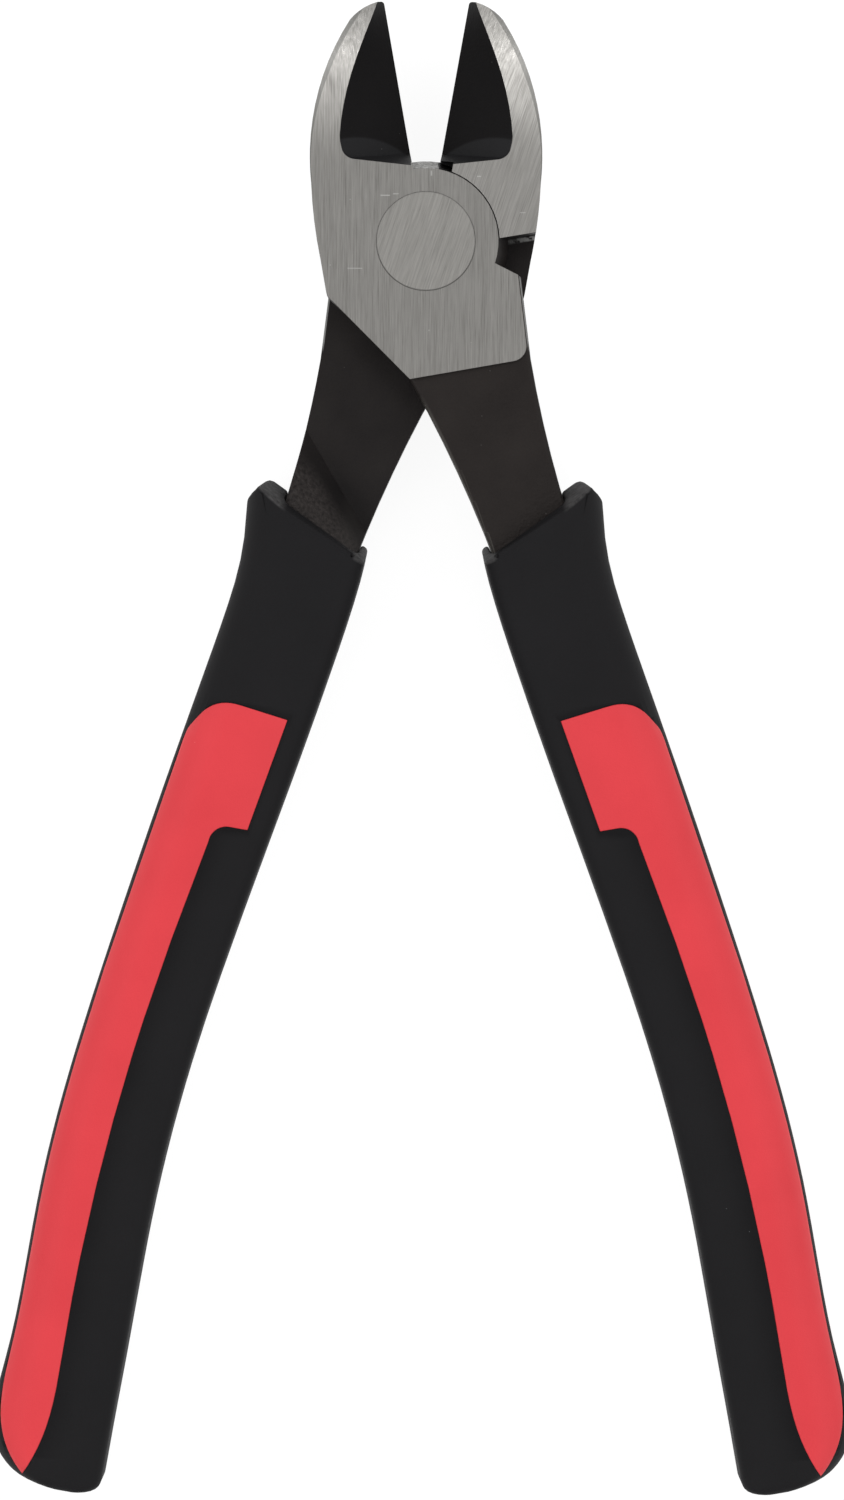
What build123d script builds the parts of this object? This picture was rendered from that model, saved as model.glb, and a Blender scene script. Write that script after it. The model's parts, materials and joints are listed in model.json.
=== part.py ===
"""Diagonal cutting pliers with a lap joint, a flush rivet and two-colour moulded grips.

The pivot axis is the Z axis, and Z = 0 is the ground rear face of the head. The jaws point along +Y.
Both forgings are one design, and so are both grips. They are drawn once with the jaws closed: the
cutting edge on the Y axis, the jaw on the -X side and the leg on the +X side. The front half is that
design turned open by half of the opening angle. The rear half is the same design turned over about
the Y axis and turned open the other way.
"""

from build123d import *
import math
import os

os.makedirs("parts", exist_ok=True)

# ---------------------------------------------------------------- driving dimensions, mm and degrees

opening_angle = 20.0  # between the cutting edges, as the pliers lie

# head, measured from the pivot
head_thickness = 11.5
jaw_reach = 32.05
head_half_width = 13.9
cheek_drop = 4.75
cheek_radius = 1.8
small_radius = 0.35  # at the jaw tip and the shoulder
tip_half_thickness = 1.6
taper_start = 12.0  # the ground faces curve in towards the tip from here

# cutting edge and the hollow ground beside it, on both faces
edge_gap = 0.02  # from the Y axis to the edge, so that the closed edges just meet
edge_land = 0.16
hollow_width = 9.0
hollow_margin = 0.15  # steel left between the hub circle and the hollow's floor
hollow_rise = 2.6  # the floor climbs this much from the edge to its outer corner
hollow_wall = 3.2  # and from there up to where the hollow is widest
hollow_radius = 2.2
hollow_wall_draft = 18.0
hollow_overcut = 1.25  # how far the cutter reaches past the ground face, as a factor
tip_overcut = 1.6  # the same at the jaw's tip
tip_slant_width = 1.0  # of the cutter, 0.3 mm past the jaw's tip
past_tip = 0.3

# lap joint
hub_radius = 9.45  # at the ground face
hub_draft = 1.3  # how much wider the hub is at the lap
joint_clearance = 0.15
lap_clearance = 0.08
heel_height = 2.0  # where the jaw's heel meets the hub circle
heel_slope = 19.5
shoulder_step = 1.95  # the shoulder stands out from the hub circle by this
shoulder_drop = 6.65
shoulder_rise = 2.25  # from the shoulder's corner up to the hub circle
root_relief = 1.75  # the sliver between hollow and recess is cut off beside the edge's root
run_out_width = 8.7  # the lap recess runs out across the leg through this point
run_out_drop = 29.5
run_out_angle = 49.8
run_out_wall = 45.0

# ground face and forged leg
face_drop = 17.35  # pivot to the end of the ground face
face_inner = 5.1
face_corner = 2.0
face_margin = 0.35  # forged border left outside the ground face
face_step = 0.45
neck_outer = 10.85
neck_inner = 3.5  # the leg's inner edge crosses the centre plane by this at the crotch
crotch_drop = 21.9
neck_end = 43.0
neck_end_inner = 1.9
neck_end_outer = 12.9
forged_radius = 0.6  # along the leg's long edges

# rivet
shaft_radius = 4.0
rivet_head_radius = 6.4
rivet_head_height = 3.0
peen_height = 2.4
running_clearance = 0.04

# tang inside the grip
tang_width = 8.4
tang_thickness = 6.6
tang_tip_width = 6.0
tang_shoulder = 0.75  # step from the leg to the tang, on each side
tang_start = 41.0
tang_end = 152.0

# grips
mouth_height = 33.8  # pivot to the collar's peak
mouth_outer = 14.65
mouth_slope = 25.6
mouth_fall = 14.0  # the mouth falls away from the middle plane to both faces
mouth_corner = (2.3, 3.2)  # cut off the collar's outer corner, across and down
grip_end = 168.15
outer_radius = 5.8  # of the grip's section, on its outer side
inner_radius = 2.2
heel_radius = 8.5  # rounding of the grip's end
toe_radius = 2.4
end_margin = 0.1

# Stations along a grip: distance below the pivot, middle line, width and thickness.
grip_stations = (
    (27.0, 8.9, 16.8, 17.6),
    (37.5, 8.65, 16.7, 17.6),
    (45.0, 8.55, 15.8, 16.4),
    (54.0, 9.65, 15.65, 16.4),
    (70.0, 12.3, 15.7, 17.0),
    (90.0, 15.65, 15.3, 17.4),
    (110.0, 18.6, 15.0, 17.4),
    (130.0, 20.2, 15.0, 17.0),
    (150.0, 20.4, 15.1, 16.6),
    (172.0, 20.3, 15.0, 16.2),
)

# inlays, on the grip's outer half
inlay_floor = 4.4  # from the middle plane to an inlay's underside
inlay_start = 64.5  # pivot to its upper inner corner
inlay_crown = 0.8  # how far its straight upper edge rises towards the outside
inlay_crown_out = 1.4  # from the grip's middle line to where that edge starts to bend
inlay_bend = ((2.2, 0.0), (4.2, 0.95), (5.75, 2.95))  # the bend, out and down from there
inlay_shoulder = 8.2  # pivot side to the bend's end
inlay_wide_part = 15.0  # it covers most of the grip's width for this length
inlay_margin = 3.05  # black border left beside the wide part
notch_radius = 2.3  # where the wide part ends
spine_margin = 0.45  # black border left along the grip's outer side
inlay_spread = 0.01  # its inner edge leaves the grip's middle line by this much per mm
inlay_centred = 110.0  # and crosses it this far below the pivot
inlay_tail_outer = (27.0, 161.2)  # across and down, as the next two
inlay_tail_inner = (21.2, 160.5)
inlay_tip = (23.2, 166.9)

# ---------------------------------------------------------------- derived places

middle = head_thickness / 2
lap_face = middle + lap_clearance / 2
hub_lap_radius = hub_radius + hub_draft
hollow_root = hub_radius + hollow_margin
hollow_corner = hollow_root + hollow_rise
hollow_top = hollow_corner + hollow_wall
shoulder_width = hub_radius + shoulder_step
shoulder_root_drop = shoulder_drop - shoulder_rise
shoulder_root_x = math.sqrt(hub_radius**2 - shoulder_root_drop**2)
neck_middle = (neck_end_inner + neck_end_outer) / 2
grip_reach = max(thickness for _, _, _, thickness in grip_stations) / 2
half_opening = opening_angle / 2
far = 60.0  # cutters reach this far past the steel


def station_plane(drop, middle_line):
    """A section plane across a grip, its x towards +X and its y towards +Z."""
    return Plane(origin=(middle_line, -drop, middle), x_dir=(1, 0, 0), z_dir=(0, -1, 0))


def grip_place(drop):
    """Middle line and width of the grip at a distance below the pivot, between its stations."""
    for upper, lower in zip(grip_stations, grip_stations[1:]):
        if upper[0] <= drop <= lower[0]:
            share = (drop - upper[0]) / (lower[0] - upper[0])
            return [a + share * (b - a) for a, b in zip(upper[1:3], lower[1:3])]


# ---------------------------------------------------------------- cutters for the forging

with BuildPart() as hollow:
    slant = (hollow_width * hollow_overcut, middle * hollow_overcut)
    tip_slant = (tip_slant_width, tip_half_thickness * tip_overcut)
    with BuildSketch(station_plane(-hollow_top, 0)):
        with Locations((0, edge_land / 2)):
            Polygon((0, 0), (0, slant[1]), (-slant[0], slant[1]), align=None)
    with BuildSketch(station_plane(-jaw_reach - past_tip, 0)):
        with Locations((0, edge_land / 2)):
            Polygon((0, 0), (0, tip_slant[1]), (-tip_slant[0], tip_slant[1]), align=None)
    loft(ruled=True)
    with BuildSketch(station_plane(-hollow_top, 0)):
        with Locations((0, edge_land / 2)):
            Polygon((0, 0), (0, slant[1]), (-slant[0], slant[1]), align=None)
    extrude(amount=hollow_top)
    with BuildSketch(Plane.XY.offset(head_thickness + 1)) as hollow_outline:
        Polygon(
            (hollow_width, jaw_reach + far),
            (-far, jaw_reach + far),
            (-far, hollow_top + far / 6),
            (-hollow_width - edge_land, hollow_top),
            (-hollow_width, hollow_corner),
            (0, hollow_root),
            (hollow_width, hollow_root),
            align=None,
        )
        fillet(hollow_outline.vertices().sort_by_distance((-hollow_width, hollow_corner))[0], hollow_radius)
    extrude(amount=-middle - 1, taper=hollow_wall_draft, mode=Mode.INTERSECT)

with BuildPart() as nose_taper:
    with BuildSketch(Plane.YZ):
        with BuildLine():
            end_drop = middle - tip_half_thickness
            run = jaw_reach + 1 - taper_start
            sweep_radius = (run**2 + end_drop**2) / (2 * end_drop)
            level = (taper_start, head_thickness)
            low = (jaw_reach + 1, head_thickness - end_drop)
            RadiusArc(level, low, sweep_radius)
            Polyline(low, (jaw_reach + 1, head_thickness + 1), (taper_start, head_thickness + 1), level)
        make_face()
    extrude(amount=far, both=True)

with BuildPart() as recess:
    with BuildSketch(Plane.XY.offset(-1)):
        heel_x = -math.sqrt(hub_radius**2 - heel_height**2)
        rise = math.tan(math.radians(heel_slope)) * far
        Polygon(
            (heel_x + 1, heel_height),
            (heel_x, heel_height),
            (heel_x - far, heel_height + rise),
            (-far, -far),
            (far, -far),
            (far, heel_height),
            align=None,
        )
    extrude(amount=lap_face + 1)
    with BuildSketch(Plane.XZ):
        wide = hub_lap_radius + joint_clearance
        narrow = hub_radius + joint_clearance
        Polygon((0, 0), (narrow, 0), (wide, lap_face), (0, lap_face), align=None)
    revolve(axis=Axis.Z)
    with BuildSketch(Plane.XY.offset(-1)):
        with Locations((-root_relief / 2, hub_radius)):
            Rectangle(root_relief, 2 * hub_draft)
    extrude(amount=middle * 0.8)
    run_out_dir = (math.cos(math.radians(run_out_angle)), math.sin(math.radians(run_out_angle)))
    run_out_plane = Plane(
        origin=(run_out_width, -run_out_drop, lap_face),
        x_dir=(run_out_dir[1], -run_out_dir[0], 0),
        z_dir=(-run_out_dir[0], -run_out_dir[1], 0),
    )
    with BuildSketch(run_out_plane):
        depth = lap_face + 1
        spread = depth * math.tan(math.radians(run_out_wall))
        Polygon((0, 0), (-2 * far, 0), (-2 * far, -depth), (spread, -depth), align=None)
    extrude(amount=2 * far, both=True, mode=Mode.INTERSECT)

with BuildSketch() as ground_face:
    Polygon(
        (-far, far),
        (-far, -face_drop),
        (neck_outer - face_margin, -face_drop),
        (shoulder_width - face_margin, -shoulder_drop),
        (shoulder_width - face_margin, far),
        align=None,
    )
    fillet(ground_face.vertices().sort_by_distance((neck_outer, -face_drop))[0], face_corner)

# ---------------------------------------------------------------- the forging, drawn closed

with BuildPart() as forging:
    with BuildSketch(Plane.XY.offset(face_step)) as outline:
        with BuildLine():
            edge_bottom = (-edge_gap, math.sqrt(hub_radius**2 - edge_gap**2))
            tip = (-edge_gap, jaw_reach)
            nose = (-0.345 * head_half_width, jaw_reach - 1.75)
            cheek = (-0.964 * head_half_width, 10.0)
            cheek_low = (-head_half_width, -cheek_drop)
            crotch = (-neck_inner, -crotch_drop)
            neck_in = (neck_end_inner, -neck_end)
            neck_out = (neck_end_outer, -neck_end)
            shoulder_root = (shoulder_root_x, -shoulder_root_drop)
            Line(edge_bottom, tip)
            ThreePointArc(tip, (-0.19 * head_half_width, jaw_reach - 0.45), nose)
            ThreePointArc(nose, (-0.736 * head_half_width, 0.69 * jaw_reach), cheek)
            ThreePointArc(cheek, (-0.997 * head_half_width, 5.0), (-head_half_width, 0))
            Polyline((-head_half_width, 0), cheek_low, (-face_inner, -face_drop), crotch)
            ThreePointArc(crotch, (-0.9, -30.8), neck_in)
            Line(neck_in, neck_out)
            ThreePointArc(neck_out, (neck_outer + 0.4, -29.0), (neck_outer, -face_drop))
            Polyline((neck_outer, -face_drop), (shoulder_width, -shoulder_drop), shoulder_root)
            RadiusArc(shoulder_root, edge_bottom, -hub_radius)
        make_face()
        fillet(outline.vertices().sort_by_distance((*cheek_low, face_step))[0], cheek_radius)
        fillet(outline.vertices().sort_by_distance((*tip, face_step))[0], small_radius)
        shoulder_corner = (shoulder_width, -shoulder_drop, face_step)
        fillet(outline.vertices().sort_by_distance(shoulder_corner)[0], small_radius)
    extrude(amount=head_thickness - 2 * face_step)
    long_edges = forging.edges().filter_by_position(Axis.Y, -neck_end, -shoulder_drop, (False, False))
    fillet(long_edges.filter_by(Plane.XY), forged_radius)
    with BuildSketch():
        add(outline.sketch_local)
        add(ground_face.sketch, mode=Mode.INTERSECT)
    extrude(amount=head_thickness)
    with BuildSketch(Plane.XZ):
        Polygon(
            (0, middle),
            (hub_lap_radius, middle),
            (hub_radius, head_thickness),
            (0, head_thickness),
            align=None,
        )
    revolve(axis=Axis.Z)
    for cutter in (nose_taper, hollow):
        add(cutter.part, mode=Mode.SUBTRACT)
        add(cutter.part.mirror(Plane.XY.offset(middle)), mode=Mode.SUBTRACT)
    add(recess.part, mode=Mode.SUBTRACT)

tang_stations = [s for s in grip_stations if tang_start + 2 < s[0] < tang_end - 4]
with BuildPart() as tang:
    with BuildSketch(station_plane(tang_start, neck_middle)):
        Rectangle(neck_end_outer - neck_end_inner - 2 * tang_shoulder, tang_thickness)
    for drop, middle_line, _, _ in tang_stations:
        with BuildSketch(station_plane(drop, middle_line)):
            Rectangle(tang_width, tang_thickness)
    with BuildSketch(station_plane(tang_end, grip_place(tang_end)[0])):
        Rectangle(tang_tip_width, tang_thickness)
    loft(ruled=True)

# ---------------------------------------------------------------- the grip, drawn closed

end_middle, end_width = grip_place(grip_end)
end_inner = end_middle - end_width / 2 - end_margin
end_outer = end_middle + end_width / 2 + end_margin
with BuildSketch() as end_shape:
    Polygon(
        (end_inner, -grip_end + 2 * heel_radius),
        (end_inner, -grip_end),
        (end_outer, -grip_end),
        (end_outer, -grip_end + 2 * heel_radius),
        align=None,
    )
    fillet(end_shape.vertices().sort_by_distance((end_inner, -grip_end))[0], toe_radius)
    fillet(end_shape.vertices().sort_by_distance((end_outer, -grip_end))[0], heel_radius)

with BuildPart() as end_cutter:
    with BuildSketch(Plane.XY.offset(-far / 2)):
        with Locations((end_inner, -grip_end + heel_radius)):
            Rectangle(2 * far, far, align=(Align.CENTER, Align.MAX))
        add(end_shape.sketch, mode=Mode.SUBTRACT)
    extrude(amount=far)

with BuildPart() as mouth_cutter:
    slope = math.radians(mouth_slope)
    fall = far * math.tan(math.radians(mouth_fall))
    mouth_plane = Plane(
        origin=(mouth_outer, -mouth_height, middle),
        x_dir=(0, 0, 1),
        z_dir=(math.cos(slope), math.sin(slope), 0),
    )
    with BuildSketch(mouth_plane):
        Polygon((0, 0), (far, fall), (far, -far), (-far, -far), (-far, fall), align=None)
    extrude(amount=far, both=True)
    with BuildSketch(Plane.XY.offset(-far / 2)):
        with Locations((mouth_outer, -mouth_height)):
            Polygon(
                (0, 0),
                (mouth_corner[0], -mouth_corner[1]),
                (far, -mouth_corner[1]),
                (far, far),
                (0, far),
                align=None,
            )
    extrude(amount=far)

with BuildPart() as grip:
    for drop, middle_line, width, thickness in grip_stations:
        with BuildSketch(station_plane(drop, middle_line)) as section:
            Rectangle(width, thickness)
            fillet(section.vertices().group_by(Axis.X)[-1], outer_radius)
            fillet(section.vertices().group_by(Axis.X)[0], inner_radius)
    loft()
    for cutter in (mouth_cutter, end_cutter):
        add(cutter.part, mode=Mode.SUBTRACT)

with BuildPart() as inlay_space:
    with BuildSketch(Plane.XY.offset(middle + inlay_floor)):
        with BuildLine():
            wide_end = inlay_start + inlay_wide_part
            top_middle, top_width = grip_place(inlay_start)
            low_middle, low_width = grip_place(inlay_start + inlay_shoulder)
            end_middle, end_width = grip_place(wide_end)
            tail = inlay_tip[1] - heel_radius
            beside = [s for s in grip_stations if wide_end + notch_radius < s[0] < tail]
            top_inner = (top_middle - top_width / 2 + inlay_margin, -inlay_start)
            crown = (top_middle + inlay_crown_out, -inlay_start + inlay_crown)
            bend = [(crown[0] + out, crown[1] - down) for out, down in inlay_bend]
            shoulder = (low_middle + low_width / 2 - spine_margin, -inlay_start - inlay_shoulder)
            outer_side = [(s[1] + s[2] / 2 - spine_margin, -s[0]) for s in beside]
            inner_side = [(s[1] + inlay_spread * (s[0] - inlay_centred), -s[0]) for s in beside]
            tail_outer, tip_end, tail_inner = (
                (across, -down) for across, down in (inlay_tail_outer, inlay_tip, inlay_tail_inner)
            )
            notch_low = (end_middle, -wide_end - notch_radius)
            notch_high = (end_middle - notch_radius, -wide_end)
            notch_bend = notch_radius * math.sqrt(0.5)
            wide_corner = (end_middle - end_width / 2 + inlay_margin, -wide_end)
            Polyline(notch_high, wide_corner, top_inner, crown)
            leaving = Vector(crown) - Vector(top_inner)
            arriving = Vector(outer_side[0]) - Vector(shoulder)
            Spline(crown, *bend, shoulder, tangents=(leaving, arriving))
            Spline(shoulder, *outer_side, tail_outer, tip_end)
            Spline(tip_end, tail_inner, *reversed(inner_side), notch_low)
            ThreePointArc(notch_low, (notch_high[0] + notch_bend, notch_low[1] + notch_bend), notch_high)
        make_face()
    extrude(amount=grip_reach)

with BuildPart() as inlay:
    add(grip.part)
    add(inlay_space.part, mode=Mode.INTERSECT)

with BuildPart() as sleeve:
    add(grip.part)
    for space in (forging, tang, inlay_space):
        add(space.part, mode=Mode.SUBTRACT)
    add(inlay_space.part.mirror(Plane.XY.offset(middle)), mode=Mode.SUBTRACT)

# ---------------------------------------------------------------- the pieces, opened as they lie

front_pose = Location((0, 0, 0), (0, 0, half_opening))
rear_pose = Location((0, 0, 0), (0, 0, -half_opening)) * Location((0, 0, head_thickness), (0, 180, 0))

with BuildPart() as pivot_rivet:
    with BuildSketch(Plane.XZ):
        Polygon(
            (0, 0),
            (rivet_head_radius, 0),
            (shaft_radius, peen_height),
            (shaft_radius, head_thickness - rivet_head_height),
            (rivet_head_radius, head_thickness - rivet_head_height),
            (rivet_head_radius, head_thickness),
            (0, head_thickness),
            align=None,
        )
    revolve(axis=Axis.Z)

with BuildPart() as front_half:
    with Locations(front_pose):
        add(forging.part)
        add(tang.part)
    for radius, depth in ((shaft_radius, head_thickness), (rivet_head_radius, rivet_head_height)):
        with Locations((0, 0, head_thickness)):
            Cylinder(radius + running_clearance, 2 * (depth + running_clearance), mode=Mode.SUBTRACT)

with BuildPart() as rear_half:
    with Locations(rear_pose):
        add(forging.part)
        add(tang.part)
    add(pivot_rivet.part, mode=Mode.SUBTRACT)

finished = {"pivot_rivet": pivot_rivet, "front_half": front_half, "rear_half": rear_half}
for side, pose in (("right", front_pose), ("left", rear_pose)):
    with BuildPart() as placed_sleeve:
        with Locations(pose):
            add(sleeve.part)
    finished[side + "_grip_sleeve"] = placed_sleeve
    for face, mirror_face in (("front", side == "left"), ("rear", side == "right")):
        shape = inlay.part.mirror(Plane.XY.offset(middle)) if mirror_face else inlay.part
        with BuildPart() as placed_inlay:
            with Locations(pose):
                add(shape)
        finished[f"{side}_{face}_inlay"] = placed_inlay

for label, piece in finished.items():
    piece.part.label = label
    export_step(piece.part, f"parts/{label}.step")
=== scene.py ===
# %% [markdown]
# # Diagonal cutting pliers
#
# A pair of side cutters is two steel forgings that cross at a lap joint, a rivet ground flush with both
# faces, and a two-colour moulded grip on each leg. The steel and the rivet are already exact, so this
# lesson gives them their finish. The grips are soft rounded mouldings, so they are modelled here around
# the fixed frame, and they replace the plain grip solids.

# %% Load the fixed frame
import json
import math
from types import SimpleNamespace

import bmesh
import bpy
import numpy as np
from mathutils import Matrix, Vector


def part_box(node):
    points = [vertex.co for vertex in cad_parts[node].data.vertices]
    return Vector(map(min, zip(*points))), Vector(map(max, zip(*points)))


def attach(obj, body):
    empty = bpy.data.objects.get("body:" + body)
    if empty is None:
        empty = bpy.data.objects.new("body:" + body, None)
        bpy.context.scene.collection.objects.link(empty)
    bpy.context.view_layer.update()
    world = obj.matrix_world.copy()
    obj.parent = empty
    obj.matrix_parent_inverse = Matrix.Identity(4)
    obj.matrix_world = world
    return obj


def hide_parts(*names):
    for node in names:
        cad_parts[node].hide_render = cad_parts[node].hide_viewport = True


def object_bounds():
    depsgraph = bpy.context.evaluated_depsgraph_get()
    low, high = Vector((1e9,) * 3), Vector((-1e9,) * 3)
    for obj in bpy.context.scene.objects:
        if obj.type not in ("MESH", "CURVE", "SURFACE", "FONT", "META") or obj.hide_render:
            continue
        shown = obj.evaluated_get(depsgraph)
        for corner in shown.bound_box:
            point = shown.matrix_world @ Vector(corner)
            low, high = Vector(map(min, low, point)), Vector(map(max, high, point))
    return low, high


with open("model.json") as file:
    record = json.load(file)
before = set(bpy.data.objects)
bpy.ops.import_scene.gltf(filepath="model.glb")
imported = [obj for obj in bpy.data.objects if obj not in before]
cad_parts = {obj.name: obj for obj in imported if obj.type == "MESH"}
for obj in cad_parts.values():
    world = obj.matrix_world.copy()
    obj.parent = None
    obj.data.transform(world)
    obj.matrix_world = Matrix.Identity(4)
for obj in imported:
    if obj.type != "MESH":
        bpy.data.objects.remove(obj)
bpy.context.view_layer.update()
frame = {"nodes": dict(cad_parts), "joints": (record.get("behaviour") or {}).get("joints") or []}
nodes = frame["nodes"]
MM = 0.001
closing = frame["joints"][0]["range_deg"][0]
half_opening = math.radians(-closing / 2)
head_low, head_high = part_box("pivot_rivet")
middle = (head_low.z + head_high.z) / 2
print("the frame has", len(nodes), "nodes; the handles lie", -closing, "degrees open")

# %% [markdown]
# ## Working by hand, in code
#
# Operators act on what is selected, and loading leaves the frame selected. These helpers select one
# piece, pick vertices, edges or faces by a test on their place, and apply a modifier at once.


# %% Selection and modifier helpers
def only(piece):
    """Selects one object and nothing else."""
    bpy.ops.object.select_all(action="DESELECT")
    piece.select_set(True)
    bpy.context.view_layer.objects.active = piece


def pick(piece, kind, wanted):
    """In edit mode, selects the vertices, edges or faces for which wanted is true."""
    bpy.context.tool_settings.mesh_select_mode = (kind == "verts", kind == "edges", kind == "faces")
    bpy.ops.mesh.select_all(action="DESELECT")
    mesh = bmesh.from_edit_mesh(piece.data)
    for element in getattr(mesh, kind):
        if wanted(element):
            element.select_set(True)
    mesh.select_flush_mode()
    bmesh.update_edit_mesh(piece.data)


def apply_modifier(piece, kind, **settings):
    """Adds a modifier with these settings and applies it."""
    only(piece)
    modifier = piece.modifiers.new(kind.title(), kind)
    for name, value in settings.items():
        setattr(modifier, name, value)
    bpy.ops.object.modifier_apply(modifier=modifier.name)


def copy_of(piece, name):
    """A second object with its own mesh."""
    copy = piece.copy()
    copy.data = piece.data.copy()
    copy.parent = None
    for key in list(copy.keys()):
        del copy[key]
    copy.name = copy.data.name = name
    bpy.context.scene.collection.objects.link(copy)
    copy.hide_render = copy.hide_viewport = False
    return copy


def open_edges(piece):
    """How many edges aren't shared by two faces: 0 on a closed mesh."""
    mesh = bmesh.new()
    mesh.from_mesh(piece.data)
    count = sum(len(edge.link_faces) != 2 for edge in mesh.edges)
    mesh.free()
    return count


bpy.ops.object.select_all(action="DESELECT")
print("helpers are ready")

# %% [markdown]
# ## Measuring the grip
#
# A grip is easiest to model with the pliers shut, where it runs almost straight down. The frame's grip
# solids are turned back shut and cut across at a row of places, and each cut gives the moulding's width
# and thickness there. So the new grip follows the frame even if its sizes change.


# %% Cut the frame's nodes across
def shut_edges(names):
    """The ends of every mesh edge of some nodes of the right-hand side, turned back shut."""
    cosine, sine = math.cos(half_opening), math.sin(half_opening)
    turn = np.array([[cosine, -sine, 0], [sine, cosine, 0], [0, 0, 1]])
    ends = []
    for name in names:
        data = nodes[name].data
        points = np.array([v.co for v in data.vertices]) @ turn
        pairs = np.array([e.vertices[:] for e in data.edges])
        ends.append(points[pairs])
    return np.concatenate(ends)


def cut_across(ends, drop):
    """Inner and outer side, back and front of the nodes at a distance below the pivot."""
    above, below = ends[:, 0], ends[:, 1]
    crossing = (above[:, 1] + drop) * (below[:, 1] + drop) <= 0
    above, below = above[crossing], below[crossing]
    run = below[:, 1] - above[:, 1]
    keep = np.abs(run) > 1e-9
    share = (-drop - above[keep, 1]) / run[keep]
    points = above[keep] + share[:, None] * (below[keep] - above[keep])
    low, high = points.min(0), points.max(0)
    return low[0], high[0], low[2], high[2]


grip_edges = shut_edges(["right_grip_sleeve", "right_front_inlay", "right_rear_inlay"])
leg_edges = shut_edges(["front_half"])
grip_points = grip_edges.reshape(-1, 3)
grip_end = -grip_points[:, 1].min()
peak = grip_points[grip_points[:, 1].argmax()]
print("the collar's peak is", round(-peak[1] / MM, 1), "mm below the pivot")
print("the grip's end is", round(grip_end / MM, 1), "mm below the pivot")

# %% [markdown]
# ## Drawing a bar through sections
#
# The grip's section is a D: flat on the front and back, with a big radius on the outside of the hand and
# a small one on the inside. It could be a curve with a profile, but a curve can't change its width and
# thickness by themselves. Extruding one face from section to section, and resizing it each time, gives
# clean four-sided faces and full control.


# %% The bar
def bar(name, sections, outer_radius, inner_radius, rounding_steps):
    """A closed bar through sections of (drop, inner side, outer side, back, front)."""
    drop, inner, outer, back, front = sections[0]
    centre = Vector(((inner + outer) / 2, -drop, (back + front) / 2))
    bpy.ops.object.select_all(action="DESELECT")
    bpy.ops.mesh.primitive_plane_add(size=1, location=centre, rotation=(math.pi / 2, 0, 0))
    piece = bpy.context.object
    piece.name = piece.data.name = name
    piece.scale = (outer - inner, front - back, 1)
    bpy.ops.object.transform_apply(location=True, rotation=True, scale=True)
    bpy.ops.object.mode_set(mode="EDIT")
    for side, radius in ((1, outer_radius), (-1, inner_radius)):
        corner = (outer - inner) / 2 * 0.999
        pick(piece, "verts", lambda v: side * (v.co.x - centre.x) > corner)
        bpy.ops.mesh.bevel(offset=radius, segments=rounding_steps, affect="VERTICES")
    bpy.context.tool_settings.mesh_select_mode = (False, False, True)
    bpy.ops.mesh.select_all(action="SELECT")
    for before, after in zip(sections, sections[1:]):
        start = Vector(((before[1] + before[2]) / 2, -before[0], (before[3] + before[4]) / 2))
        place = Vector(((after[1] + after[2]) / 2, -after[0], (after[3] + after[4]) / 2))
        bpy.ops.mesh.extrude_region_move(TRANSFORM_OT_translate={"value": place - start})
        wider = (after[2] - after[1]) / (before[2] - before[1])
        thicker = (after[4] - after[3]) / (before[4] - before[3])
        bpy.ops.transform.resize(value=(wider, 1, thicker), center_override=place)
    bpy.ops.mesh.select_all(action="SELECT")
    bpy.ops.mesh.normals_make_consistent(inside=False)
    bpy.ops.object.mode_set(mode="OBJECT")
    return piece


# %% [markdown]
# ## The grip's body
#
# The body starts above the collar, so that the mouth can be cut from it afterwards, and its last
# sections shrink along a quarter circle, which rounds the end as the mould does.

# %% Sections down the grip
outer_radius = 5.8 * MM
inner_radius = 2.2 * MM
first_section = 27 * MM
section_step = 3 * MM
last_mouth = 44.5 * MM  # below here the frame's grip is whole
outer_corner = -peak[1] + 3.5 * MM  # below here its outer side is whole
lip_flare = 0.55 * MM  # how far the collar spreads
flare_rate = 2.2  # it has spread fully after 1 / 2.2 of the way up the mouth
end_rounding = 1.3 * MM
heel_radius = 8.5 * MM
toe_radius = 2.4 * MM
straight_end = grip_end - heel_radius - 0.5 * MM  # the end's roundings start just below here


def grip_section(drop, inset=0.0):
    """The grip's extent at a distance below the pivot, carried on straight above the mouth and rounded
    at the heel and the toe."""
    inner, outer, back, front = cut_across(grip_edges, min(max(drop, last_mouth), straight_end))
    heel_drop, toe_drop = (max(0, drop - grip_end + radius) for radius in (heel_radius, toe_radius))
    outer -= heel_radius - math.sqrt(heel_radius**2 - heel_drop**2)
    inner += toe_radius - math.sqrt(toe_radius**2 - toe_drop**2)
    if drop < last_mouth:
        outer = cut_across(grip_edges, max(drop, outer_corner))[1]
        share = (last_mouth - drop) / (last_mouth - first_section)
        flare = lip_flare * min(1, flare_rate * share)
        inner, back, front = inner - flare, back - flare, front + flare
    return drop, inner + inset, outer - inset, back + inset, front - inset


heel_angles = [math.radians(degrees) for degrees in range(0, 56, 6)]
end_angles = [math.radians(degrees) for degrees in (0, 18, 36, 52, 66, 78, 88)]
drops = list(np.arange(first_section, straight_end - 2 * MM, section_step))
drops += [grip_end - heel_radius * (1 - math.sin(angle)) for angle in heel_angles]
sections = [grip_section(drop) for drop in drops]
for angle in end_angles:
    drop = min(grip_end - end_rounding * (1 - math.sin(angle)), grip_end - 0.02 * MM)
    sections.append(grip_section(drop, end_rounding * (1 - math.cos(angle))))
body = bar("grip_body", sections, outer_radius, inner_radius, 9)
print("the grip's body has", len(body.data.polygons), "faces and", open_edges(body), "open edges")

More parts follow.
